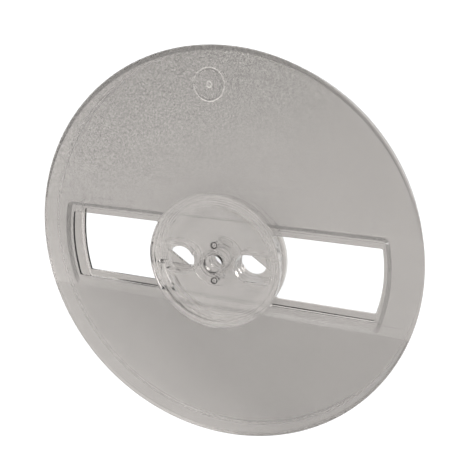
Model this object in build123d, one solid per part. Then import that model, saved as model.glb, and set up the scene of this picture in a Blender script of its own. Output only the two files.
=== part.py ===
from build123d import *
import os

# Clear two-flange line reel of an ice fishing tip-up, lying on its rear flange.
# The spindle axis is Z. X runs along the pair of windows and Y runs towards the round mark.
# The origin is on the spindle axis, at the lowest point of the reel. All sizes are in millimetres.

# Driving dimensions
flange_radius = 89.0
plate_thickness = 2.0
face_spacing = 10.6  # between the outer faces of the two flanges, at the band
ring_height = 0.9  # how far the hub ring stands out of the band's face

band_half_height = 21.4  # the straight band that crosses each flange between its two lobes
band_step = 0.25  # how far a lobe lies below the band at the band's edge
lobe_tip_depth = 0.85  # how far it lies below the rim at its tip
rim_land = 0.4  # the narrow flat on top of the rim
lip_width = 1.9  # from the rim to the foot of its sloping lip, at the tip of a lobe

window_half_height = 16.0
window_end_radius = 73.5
window_corner_radius = 0.8
frame_side_margin = 4.9  # width of the sunk frame along a window's straight sides
frame_end_margin = 3.0  # and at its rounded end
frame_depth = 1.0
frame_slope_width = 1.7  # width of the frame's sloping outer wall
frame_corner_radius = 3.2

hub_radius = 30.0
hub_wall = 2.0
hub_ring_radius = 30.8
hub_ring_width = 3.0
collar_wall = 2.0
collar_height = 2.0
web_thickness = 1.2

web_drop = 0.6  # how far the web lies behind the reel's middle

finger_hole_radius = 6.2
finger_hole_offset = 15.8
finger_slot_reach = 26.4  # from the spindle axis to the outer end of a flange's finger slot
finger_sleeve_wall = 1.3
finger_sleeve_reach = 25.6
ledge_chord_offset = 3.5  # from a finger hole's centre to the straight edge of its ledge
ledge_angle = 56.0
line_slot_width = 8.0

spindle_radius = 4.0
bush_radius = 5.0
bush_head_radius = 6.3
bush_head_thickness = 0.8
recess_radius = 10.4
recess_depth = 0.7

pin_radius = 1.2
pin_head_radius = 1.55
pin_tail_radius = 1.85
pin_circle_radius = 8.3
twist_angle = 30.0

mark_radius = 6.0
mark_width = 0.8
mark_height = 0.25
mark_position = (-2.0, 74.6)
mark_dot_radius = 1.2
gate_position = (4.0, 23.6)
gate_radius = 0.8

running_gap = 0.05
air_gap = 0.3

# Worked-out levels
rear_face = ring_height
rear_inner = rear_face + plate_thickness
front_face = rear_face + face_spacing
front_inner = front_face - plate_thickness
middle = (rear_face + front_face) / 2
lip_slope = lobe_tip_depth / (lip_width - rim_land)
clear = 3.0  # how far a cutting solid runs past the flange's faces
far = 2 * flange_radius


def disc(radius, low, high, centre=(0, 0)):
    """A round solid between two levels."""
    return Pos(centre[0], centre[1], low) * extrude(Circle(radius), amount=high - low)


def ring(outer, inner, low, high, centre=(0, 0)):
    """A tube between two levels."""
    return disc(outer, low, high, centre) - disc(inner, low - 1, high + 1, centre)


def block(x_range, y_range, low, high):
    """A rectangular solid from its ranges."""
    size = (x_range[1] - x_range[0], y_range[1] - y_range[0], high - low)
    centre = ((x_range[0] + x_range[1]) / 2, (y_range[0] + y_range[1]) / 2, (low + high) / 2)
    return Pos(*centre) * Box(*size)


def above_lobe(height):
    """All that lies over the upper lobe's sloping floor, or over a level this high above it."""
    profile = [
        (band_half_height, clear),
        (band_half_height, height - band_step),
        (flange_radius, height - lobe_tip_depth),
        (flange_radius, clear),
    ]
    return extrude(Plane.YZ * make_face(Polyline(*profile, close=True)), amount=far / 2, both=True)


def inside_lip():
    """The cone inside the rim's sloping lip."""
    edge = flange_radius - rim_land
    outline = [
        (0, -clear),
        (edge - clear / lip_slope, -clear),
        (edge + clear / lip_slope, clear),
        (0, clear),
    ]
    return revolve(Plane.XZ * make_face(Polyline(*outline, close=True)), Axis.Z)


def sector(half_height, end_radius, corner):
    """A straight-sided outline along +X that ends in an arc round the spindle."""
    bar = Pos(far / 4, 0) * Rectangle(far / 2, 2 * half_height)
    outline = bar & Circle(end_radius)
    corners = outline.vertices().filter_by(lambda v: v.X > hub_ring_radius)
    return fillet(corners, corner)


def window():
    """The opening through a flange, from the hub ring outwards."""
    outline = sector(window_half_height, window_end_radius, window_corner_radius)
    opening = Pos(0, 0, -clear) * extrude(outline, amount=2 * clear)
    return opening - disc(hub_ring_radius, -clear - 1, clear + 1)


def window_frame():
    """The sunk frame round a window, with an outer wall that slopes down to a flat floor."""
    levels = (-frame_depth, 0.2)
    outlines = []
    for level in levels:
        inset = -level / frame_depth * frame_slope_width
        outline = sector(
            window_half_height + frame_side_margin - inset,
            window_end_radius + frame_end_margin - inset,
            frame_corner_radius - inset,
        )
        outlines.append(Pos(0, 0, level) * outline)
    return loft(outlines, ruled=True) - disc(hub_ring_radius + 0.8, -clear, clear)


def finger_slot(radius, reach, low, high):
    """A slot that starts round at the finger hole and runs straight out from the spindle."""
    start = Pos(finger_hole_offset, 0) * Circle(radius)
    run = Pos(finger_hole_offset + reach / 2, 0) * Rectangle(reach, 2 * radius)
    return Pos(0, 0, low) * extrude((start + run) & Circle(reach), amount=high - low)


def both_sides(solid):
    """The solid and its copy turned half a turn about the spindle."""
    return solid + Rot(0, 0, 180) * solid


def pin_slot(sweep, start_angle):
    """The hole of one lock pin, drawn out along its circle where the flange has to twist."""
    radius = pin_radius + (air_gap if sweep else 0)
    end_centres = [start_angle, start_angle + sweep]
    cut = Part()
    for angle in end_centres:
        place = Rot(0, 0, angle) * Pos(pin_circle_radius, 0, -3)
        cut += place * extrude(Circle(radius), amount=6)
    if sweep:
        arc = Circle(pin_circle_radius + radius) - Circle(pin_circle_radius - radius)
        first = Vector(far, 0).rotate(Axis.Z, start_angle)
        last = Vector(far, 0).rotate(Axis.Z, start_angle + sweep)
        wedge = make_face(Polyline((0, 0), (first.X, first.Y), (last.X, last.Y), close=True))
        cut += Pos(0, 0, -3) * extrude(arc & wedge, amount=6)
    return cut


def flange(pin_sweep):
    """One flange, with its outer face at Z = 0 and its inner side below."""
    body = disc(flange_radius, -plate_thickness, 0)
    body -= both_sides(above_lobe(0) & inside_lip())
    mark = ring(mark_radius, mark_radius - mark_width, -1, 1, mark_position)
    mark += disc(mark_dot_radius, -1, 1, mark_position)
    mark += disc(gate_radius, -1, 1, gate_position)
    body += mark - above_lobe(mark_height)
    body += ring(hub_ring_radius, hub_ring_radius - hub_ring_width, -1, ring_height)
    collar_radius = hub_radius - hub_wall - running_gap
    collar_low = -plate_thickness - collar_height
    body += ring(collar_radius, collar_radius - collar_wall, collar_low, -plate_thickness + 0.5)
    body -= both_sides(window_frame())
    body -= both_sides(window())
    slot_range = (finger_hole_offset, hub_radius + 0.5)
    half_slot = line_slot_width / 2
    body -= both_sides(
        block(slot_range, (-half_slot, half_slot), collar_low - 1, -plate_thickness)
    )
    body -= disc(finger_hole_radius, -6, 3, (-finger_hole_offset, 0))
    body -= finger_slot(finger_hole_radius, finger_slot_reach, -6, 3)
    body -= disc(recess_radius, -recess_depth, 3)
    body -= disc(bush_radius + running_gap, -3, 3)
    pin_holes = pin_slot(pin_sweep, 90)
    body -= both_sides(pin_holes)
    return body


def hub_drum():
    """The drum that the line winds on, with its web, finger sleeves and line slots."""
    outer = hub_radius
    sleeve_radius = finger_hole_radius + finger_sleeve_wall
    web_low = middle - web_drop - web_thickness / 2
    web_high = web_low + web_thickness
    body = ring(outer, outer - hub_wall, rear_inner + running_gap, front_inner - running_gap)
    body += disc(outer - 1, web_low, web_high)
    reach = finger_sleeve_reach
    sleeve = finger_slot(sleeve_radius, reach, rear_inner + air_gap, front_inner - running_gap)
    sleeve -= finger_slot(finger_hole_radius, reach + 1, rear_inner, front_inner)
    hole = finger_slot(finger_hole_radius, reach, web_low - 1, web_high + 1)
    chord = Rot(0, 0, ledge_angle) * block(
        (ledge_chord_offset, far), (-far, far), web_low - 2, web_high + 2
    )
    hole -= Pos(finger_hole_offset, 0, 0) * chord
    half_slot = line_slot_width / 2
    channel = block(
        (outer - hub_wall - 0.5, outer + 1),
        (-half_slot, half_slot),
        rear_inner + air_gap + web_thickness,
        front_inner - web_thickness,
    )
    body += both_sides(sleeve)
    body -= both_sides(hole)
    body -= both_sides(channel)
    body -= disc(bush_radius + running_gap, 0, front_face)
    for turn in (90, 270):
        place = Rot(0, 0, turn) * Pos(pin_circle_radius, 0, 0)
        body -= place * extrude(Circle(pin_radius), amount=front_face)
    return body


def spindle_bush():
    """The bearing sleeve that the reel turns on, with its front head."""
    head_low = front_face - recess_depth + air_gap
    head_high = head_low + bush_head_thickness
    tail = rear_face + recess_depth - air_gap - bush_head_thickness
    body = disc(bush_radius, tail, head_high) + disc(bush_head_radius, head_low, head_high)
    body -= disc(spindle_radius, tail - 1, head_high + 1)
    mouth = body.edges().filter_by(GeomType.CIRCLE)
    mouth = mouth.filter_by(lambda e: abs(e.radius - spindle_radius) < 0.01)
    return chamfer(mouth, 0.3)


def bush_collar():
    """The ring pressed on the rear end of the bush, which keeps the reel on it."""
    high = rear_face + recess_depth - air_gap
    return ring(bush_head_radius, bush_radius, high - bush_head_thickness, high)


def lock_pin(turn):
    """A headed pin, pressed in the front flange and the drum, that ends in the rear slot."""
    seat = front_face - recess_depth
    tail_high = rear_face + recess_depth - air_gap
    body = disc(pin_radius, tail_high - 0.5, seat + 0.5)
    head = disc(pin_head_radius, seat, seat + 0.7)
    head = fillet(head.edges().group_by(Axis.Z)[-1], 0.45)
    tail = disc(pin_tail_radius, tail_high - 0.8, tail_high)
    tail = fillet(tail.edges().group_by(Axis.Z)[0], 0.35)
    body += head
    body += tail
    return Rot(0, 0, turn) * Pos(pin_circle_radius, 0, 0) * body


os.makedirs("parts", exist_ok=True)
parts = {
    "front_flange": Pos(0, 0, front_face) * flange(0),
    "rear_flange": Pos(0, 0, rear_face) * (Rot(0, 180, 0) * flange(twist_angle)),
    "hub_drum": hub_drum(),
    "spindle_bush": spindle_bush(),
    "bush_collar": bush_collar(),
    "lock_pin_upper": lock_pin(90),
    "lock_pin_lower": lock_pin(270),
}
for name, shape in parts.items():
    export_step(shape, f"parts/{name}.step")
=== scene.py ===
import math

import bpy
from mathutils import Euler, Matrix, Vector


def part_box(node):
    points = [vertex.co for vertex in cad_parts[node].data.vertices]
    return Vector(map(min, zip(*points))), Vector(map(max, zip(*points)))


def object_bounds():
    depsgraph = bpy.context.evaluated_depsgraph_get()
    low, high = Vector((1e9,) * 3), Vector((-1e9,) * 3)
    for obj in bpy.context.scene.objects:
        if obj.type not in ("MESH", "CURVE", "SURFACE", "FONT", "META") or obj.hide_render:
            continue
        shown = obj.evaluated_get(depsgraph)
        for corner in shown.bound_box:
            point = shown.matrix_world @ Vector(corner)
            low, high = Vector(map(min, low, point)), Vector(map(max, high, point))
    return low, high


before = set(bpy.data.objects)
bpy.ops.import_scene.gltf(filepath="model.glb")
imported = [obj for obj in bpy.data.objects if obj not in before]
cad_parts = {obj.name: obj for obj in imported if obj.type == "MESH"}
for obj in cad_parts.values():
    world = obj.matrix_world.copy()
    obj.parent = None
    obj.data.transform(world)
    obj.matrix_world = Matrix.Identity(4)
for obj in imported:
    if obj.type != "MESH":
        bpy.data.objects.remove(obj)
cad_low, cad_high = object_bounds()

FLANGE_RADIUS = (cad_high.x - cad_low.x) / 2
MIDDLE = Vector((0, 0, (cad_low.z + cad_high.z) / 2))
RING_BEYOND_DRUM = 0.0008
drum_low, drum_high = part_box("hub_drum")
HUB_RADIUS = (drum_high.x - drum_low.x) / 2 + RING_BEYOND_DRUM

# The camera stands above the reel's right-hand side. Its place is given in flange radii.
CAMERA_PLACE = Vector((0.8375, 0.7346, 1.839))
CAMERA_TURN = (-15.606, 14.734, 2.919)
CAMERA_LENS = 31.547
CAMERA_SHIFT_X = -0.1173

# Green and blue of every shade as parts of its red: a slightly warm grey.
WARMTH = (0.943, 0.892)
# Only the first wall that a ray meets is grey. The later ones have this shade.
CLEAR = 0.985
# Both are below a real plastic's refraction index, which would draw every edge much darker.
REFRACTION = 1.28
BUSH_REFRACTION = 1.18

# The plastic's grey tint from the bottom of the flange to its top, with painted shade: the lobes are darker
# than the band and the top darker still, for how light falls on the leaning lobes: (height in flange radii,
# shade).
FLANGE_TINT_AND_PAINTED_SHADE = ((-1.0, 0.345), (-0.245, 0.355), (-0.24, 0.405), (0.24, 0.415), (0.6, 0.393), (1.0, 0.337))
# Painted light: the flange's grey inside the hub is painted lighter than the lobes and the band.
HUB_TINT_PAINTED_LIGHTER = 0.51
DRUM_SHADE = 0.46
BUSH_SHADE = 0.5

# Painted light: the lower left of a flange is painted lighter, for the soft highlight along the rear rim:
# the side, where the painted light begins and is full in flange radii, and its factors there.
PAINTED_LIGHT_SIDE = (-0.6, -0.8, 0)
PAINTED_LIGHT_REACH = (0.45, 0.85)
PAINTED_LIGHT_FACTORS = (1, 1.22)

# The upper left is frosted: the grain's (noise, factor) stops, the side, where the frosting is full and
# where it has faded in flange radii, and how much of it is gone there.
GRAIN_SHADES = ((0.4, 0.78), (0.6, 1.22))
FROSTED_SIDE = (-0.4, 0.9, 0)
FROSTED_REACH = (0.85, 0.35)
GRAIN_LOST = (0, 0.9)

# Painted shade: faint dark lines where the band's edges and frames run on across the hub: (height in metres,
# factor).
PAINTED_HUB_SHADE_LINES = ((-0.03, 1.0), (-0.0222, 1.0), (-0.0213, 0.74), (-0.0205, 0.82), (-0.0195, 1.0), (-0.0167, 1.0))
PAINTED_HUB_SHADE_LINES += ((-0.0159, 0.8), (-0.015, 1.0), (0.02, 1.0), (0.0204, 0.72), (0.0208, 1.0), (0.03, 1.0))

# The round mark near the top of a flange, in metres: how far off the middle line, and how high.
MARK_OFFSET = 0.002
MARK_HEIGHT = 0.0746
# Painted highlights and shade on its edges, outwards from its middle: (radius in metres, factor).
MARK_PAINTED_EDGE_LIGHT_AND_SHADE = ((0.0, 1.0), (0.0007, 1.0), (0.0011, 1.6), (0.0015, 1.0), (0.0054, 1.0), (0.0057, 0.7))
MARK_PAINTED_EDGE_LIGHT_AND_SHADE += ((0.006, 0.8), (0.0063, 1.7), (0.0067, 1.0))

# Painted shade on sloping walls, for how they bend the light, by the direction that they face: (angle in
# turns, factor).
# 0 and 1 face left, 0.25 down, 0.5 right and 0.75 up. Upright walls are painted lighter instead.
PAINTED_SLOPE_SHADES = ((0.0, 0.55), (0.25, 0.42), (0.5, 0.38), (0.75, 0.95), (1.0, 0.55))
PAINTED_UPRIGHT_LIGHT = 1.9


def node_tree(name):
    """An empty material with its output, ready for nodes."""
    material = bpy.data.materials.new(name)
    material.use_nodes = True
    nodes = material.node_tree.nodes
    nodes.clear()
    output = nodes.new("ShaderNodeOutputMaterial")
    return material, nodes, material.node_tree.links, output


def map_range(nodes, links, value, source, target):
    node = nodes.new("ShaderNodeMapRange")
    node.inputs["From Min"].default_value, node.inputs["From Max"].default_value = source
    node.inputs["To Min"].default_value, node.inputs["To Max"].default_value = target
    links.new(value, node.inputs["Value"])
    return node.outputs["Result"]


def math_node(nodes, links, operation, first, second=None):
    """A Math node on two sockets, or on a socket and a number."""
    node = nodes.new("ShaderNodeMath")
    node.operation = operation
    links.new(first, node.inputs[0])
    if isinstance(second, (int, float)):
        node.inputs[1].default_value = second
    elif second is not None:
        links.new(second, node.inputs[1])
    return node.outputs["Value"]


def grey_ramp(nodes, links, value, stops, warmth=WARMTH):
    """A colour ramp through (position, shade) stops."""
    ramp = nodes.new("ShaderNodeValToRGB")
    elements = ramp.color_ramp.elements
    while len(elements) < len(stops):
        elements.new(0.5)
    for element, (position, shade) in zip(elements, stops):
        element.position = position
        element.color = (shade, shade * warmth[0], shade * warmth[1], 1)
    links.new(value, ramp.inputs["Fac"])
    return ramp.outputs["Color"]


def mix_colour(nodes, links, factor, first, second):
    """A colour mix. The second colour is a socket or three numbers."""
    node = nodes.new("ShaderNodeMix")
    node.data_type = "RGBA"
    links.new(factor, node.inputs["Factor"])
    links.new(first, node.inputs["A"])
    if isinstance(second, tuple):
        node.inputs["B"].default_value = (*second, 1)
    else:
        links.new(second, node.inputs["B"])
    return node.outputs["Result"]


def multiply(nodes, links, first, second):
    node = nodes.new("ShaderNodeVectorMath")
    node.operation = "MULTIPLY"
    links.new(first, node.inputs[0])
    links.new(second, node.inputs[1])
    return node.outputs["Vector"]


def noise(nodes, links, place, scale, detail, roughness):
    node = nodes.new("ShaderNodeTexNoise")
    node.inputs["Scale"].default_value = scale
    node.inputs["Detail"].default_value = detail
    node.inputs["Roughness"].default_value = roughness
    links.new(place.outputs["Object"], node.inputs["Vector"])
    return node.outputs["Fac"]


def reach_toward(nodes, links, place, direction, reaches, target):
    """A value that changes over the flange in one direction, between two reaches in flange radii."""
    toward = nodes.new("ShaderNodeVectorMath")
    toward.operation = "DOT_PRODUCT"
    toward.inputs[1].default_value = direction
    links.new(place.outputs["Object"], toward.inputs[0])
    source = [reach * FLANGE_RADIUS for reach in reaches]
    return map_range(nodes, links, toward.outputs["Value"], source, target)


def flange_tint_and_painted_shade(nodes, links, place):
    """The plastic's grey tint, with painted shade that makes the lobes darker than the band between them,
    and painted light that makes the hub the lightest.
    Also gives the factor that is 1 inside the hub."""
    split = nodes.new("ShaderNodeSeparateXYZ")
    links.new(place.outputs["Object"], split.inputs["Vector"])
    height = map_range(nodes, links, split.outputs["Y"], (-FLANGE_RADIUS, FLANGE_RADIUS), (0, 1))
    stops = [((level + 1) / 2, shade) for level, shade in FLANGE_TINT_AND_PAINTED_SHADE]
    plate = grey_ramp(nodes, links, height, stops)
    across = math_node(nodes, links, "MULTIPLY", split.outputs["X"], split.outputs["X"])
    along = math_node(nodes, links, "MULTIPLY", split.outputs["Y"], split.outputs["Y"])
    reach = math_node(nodes, links, "SQRT", math_node(nodes, links, "ADD", across, along))
    inside = map_range(nodes, links, reach, (HUB_RADIUS + 0.0006, HUB_RADIUS - 0.0006), (0, 1))
    # Painted shade lines across the hub.
    low, high = PAINTED_HUB_SHADE_LINES[0][0], PAINTED_HUB_SHADE_LINES[-1][0]
    level = map_range(nodes, links, split.outputs["Y"], (low, high), (0, 1))
    lines = [((line - low) / (high - low), HUB_TINT_PAINTED_LIGHTER * factor) for line, factor in PAINTED_HUB_SHADE_LINES]
    hub = grey_ramp(nodes, links, level, lines)
    # Painted light on the lower left of the flange.
    light = reach_toward(nodes, links, place, PAINTED_LIGHT_SIDE, PAINTED_LIGHT_REACH, PAINTED_LIGHT_FACTORS)
    plate = multiply(nodes, links, plate, light)
    return mix_colour(nodes, links, inside, plate, hub), inside


def painted_mark_edges(nodes, links, place, offset):
    """A factor that paints highlights and shade on the edges of the mark."""
    gap = nodes.new("ShaderNodeVectorMath")
    gap.operation = "DISTANCE"
    gap.inputs[1].default_value = (offset, MARK_HEIGHT, 0)
    flat = nodes.new("ShaderNodeVectorMath")
    flat.operation = "MULTIPLY"
    flat.inputs[1].default_value = (1, 1, 0)
    links.new(place.outputs["Object"], flat.inputs[0])
    links.new(flat.outputs["Vector"], gap.inputs[0])
    reach = MARK_PAINTED_EDGE_LIGHT_AND_SHADE[-1][0]
    across = map_range(nodes, links, gap.outputs["Value"], (0, reach), (0, 1))
    return grey_ramp(nodes, links, across, [(radius / reach, shade) for radius, shade in MARK_PAINTED_EDGE_LIGHT_AND_SHADE], (1, 1))


def painted_wall_shade(nodes, links, place, inside):
    """A factor of 1 on flat faces, painted shade on sloping walls and painted light on upright walls. The
    hub keeps its own shade.
    """
    split = nodes.new("ShaderNodeSeparateXYZ")
    links.new(place.outputs["Normal"], split.inputs["Vector"])
    flatness = math_node(nodes, links, "ABSOLUTE", split.outputs["Z"])
    angle = math_node(nodes, links, "ARCTAN2", split.outputs["Y"], split.outputs["X"])
    turn = map_range(nodes, links, angle, (-math.pi, math.pi), (0, 1))
    facing = grey_ramp(nodes, links, turn, PAINTED_SLOPE_SHADES, (1, 1))
    upright = map_range(nodes, links, flatness, (0.7, 0.5), (0, 1))
    wall = mix_colour(nodes, links, upright, facing, (PAINTED_UPRIGHT_LIGHT, PAINTED_UPRIGHT_LIGHT, PAINTED_UPRIGHT_LIGHT))
    flat = map_range(nodes, links, flatness, (0.90, 0.97), (0, 1))
    flat = math_node(nodes, links, "MAXIMUM", flat, inside)
    return mix_colour(nodes, links, flat, wall, (1, 1, 1))


def clear_plastic(name, roughness, shade=None, mark_offset=0.0, refraction=REFRACTION):
    """Clear moulded plastic. The first wall that a ray meets carries the grey shade, the rest are clear.
    Without a shade of its own it is a flange's plastic, with the mark that far off the middle line.
    Light and shadow pass straight through, so that the floor behind stays pale."""
    material, nodes, links, output = node_tree(name)
    place = nodes.new("ShaderNodeTexCoord")
    clouds = noise(nodes, links, place, 22, 6, 0.6)
    grain = noise(nodes, links, place, 1300, 2, 0.7)
    fine = noise(nodes, links, place, 900, 3, 0.5)

    if shade is None:
        # A flange's grey carries painted shade and painted light: its tone by height, the lighter lower left
        # and hub, the hub lines, the walls and the mark's edges.
        colour, inside = flange_tint_and_painted_shade(nodes, links, place)
        colour = multiply(nodes, links, colour, painted_wall_shade(nodes, links, place, inside))
        colour = multiply(nodes, links, colour, painted_mark_edges(nodes, links, place, mark_offset))
    else:
        colour = grey_ramp(nodes, links, clouds, ((0.3, shade * 0.97), (0.7, shade * 1.03)))
    dapple = grey_ramp(nodes, links, clouds, ((0.35, 0.965), (0.65, 1.0)), (1, 1))
    colour = multiply(nodes, links, colour, dapple)
    frosting = grey_ramp(nodes, links, grain, GRAIN_SHADES, (1, 1))
    smoothness = reach_toward(nodes, links, place, FROSTED_SIDE, FROSTED_REACH, GRAIN_LOST)
    colour = multiply(nodes, links, colour, mix_colour(nodes, links, smoothness, frosting, (1, 1, 1)))

    bump = nodes.new("ShaderNodeBump")
    bump.inputs["Strength"].default_value = 0.12
    bump.inputs["Distance"].default_value = 0.0001
    links.new(fine, bump.inputs["Height"])

    ray = nodes.new("ShaderNodeLightPath")
    later_wall = math_node(nodes, links, "GREATER_THAN", ray.outputs["Transmission Depth"], 1.5)
    tint = mix_colour(nodes, links, later_wall, colour, (CLEAR, CLEAR, CLEAR))

    glass = nodes.new("ShaderNodeBsdfPrincipled")
    glass.inputs["Transmission Weight"].default_value = 1.0
    glass.inputs["IOR"].default_value = refraction
    links.new(tint, glass.inputs["Base Color"])
    rough = map_range(nodes, links, clouds, (0, 1), (roughness, roughness * 2.5))
    links.new(rough, glass.inputs["Roughness"])
    links.new(bump.outputs["Normal"], glass.inputs["Normal"])

    through = nodes.new("ShaderNodeBsdfTransparent")
    through.inputs["Color"].default_value = (0.98, 0.98, 0.98, 1)
    surface = glass.outputs["BSDF"]
    for kind in ("Is Diffuse Ray", "Is Shadow Ray"):
        mix = nodes.new("ShaderNodeMixShader")
        links.new(ray.outputs[kind], mix.inputs["Fac"])
        links.new(surface, mix.inputs[1])
        links.new(through.outputs["BSDF"], mix.inputs[2])
        surface = mix.outputs["Shader"]
    links.new(surface, output.inputs["Surface"])
    return material


def floor_paint():
    """Plain pale floor."""
    material, nodes, links, output = node_tree("pale_floor")
    paint = nodes.new("ShaderNodeBsdfPrincipled")
    paint.inputs["Base Color"].default_value = (0.9, 0.9, 0.9, 1)
    paint.inputs["Roughness"].default_value = 0.9
    links.new(paint.outputs["BSDF"], output.inputs["Surface"])
    return material


def make_floor():
    bpy.ops.mesh.primitive_plane_add(size=6, location=(0, 0, cad_low.z - 0.0002))
    floor = bpy.context.object
    floor.name = "floor"
    floor.data.materials.append(floor_paint())


def soft_light(name, place, size, power):
    """A square area light that faces the reel."""
    light = bpy.data.lights.new(name, "AREA")
    light.size = size
    light.energy = power
    lamp = bpy.data.objects.new(name, light)
    lamp.location = place
    lamp.rotation_euler = (MIDDLE - Vector(place)).to_track_quat("-Z", "Y").to_euler()
    bpy.context.scene.collection.objects.link(lamp)


def make_camera():
    data = bpy.data.cameras.new("camera")
    data.lens = CAMERA_LENS
    data.shift_x = CAMERA_SHIFT_X
    data.clip_start = 0.01
    camera = bpy.data.objects.new("camera", data)
    camera.location = MIDDLE + CAMERA_PLACE * FLANGE_RADIUS
    camera.rotation_euler = Euler([math.radians(angle) for angle in CAMERA_TURN])
    bpy.context.scene.collection.objects.link(camera)
    bpy.context.scene.camera = camera


def make_studio():
    world = bpy.data.worlds.new("studio")
    world.use_nodes = True
    background = world.node_tree.nodes["Background"]
    background.inputs["Color"].default_value = (0.98, 0.99, 1.0, 1)
    background.inputs["Strength"].default_value = 1.0
    bpy.context.scene.world = world
    soft_light("key", (-0.3, 1.0, 1.1), 0.8, 6)
    soft_light("fill", (1.0, 0.1, 0.9), 0.7, 4)
    soft_light("edge", (-1.0, -0.9, 0.5), 0.25, 2.5)
    bpy.context.scene.view_settings.view_transform = "Standard"


def dress(node, material):
    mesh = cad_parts[node].data
    mesh.materials.clear()
    mesh.materials.append(material)


front_plastic = clear_plastic("front_plastic", 0.03, mark_offset=-MARK_OFFSET)
rear_plastic = clear_plastic("rear_plastic", 0.03, mark_offset=MARK_OFFSET)
drum_plastic = clear_plastic("drum_plastic", 0.02, DRUM_SHADE)
bush_plastic = clear_plastic("bush_plastic", 0.04, BUSH_SHADE, refraction=BUSH_REFRACTION)

for node_name, plastic in (("front_flange", front_plastic), ("rear_flange", rear_plastic)):
    dress(node_name, plastic)
dress("hub_drum", drum_plastic)
for node_name in ("spindle_bush", "bush_collar", "lock_pin_upper", "lock_pin_lower"):
    dress(node_name, bush_plastic)

make_camera()
make_floor()
make_studio()
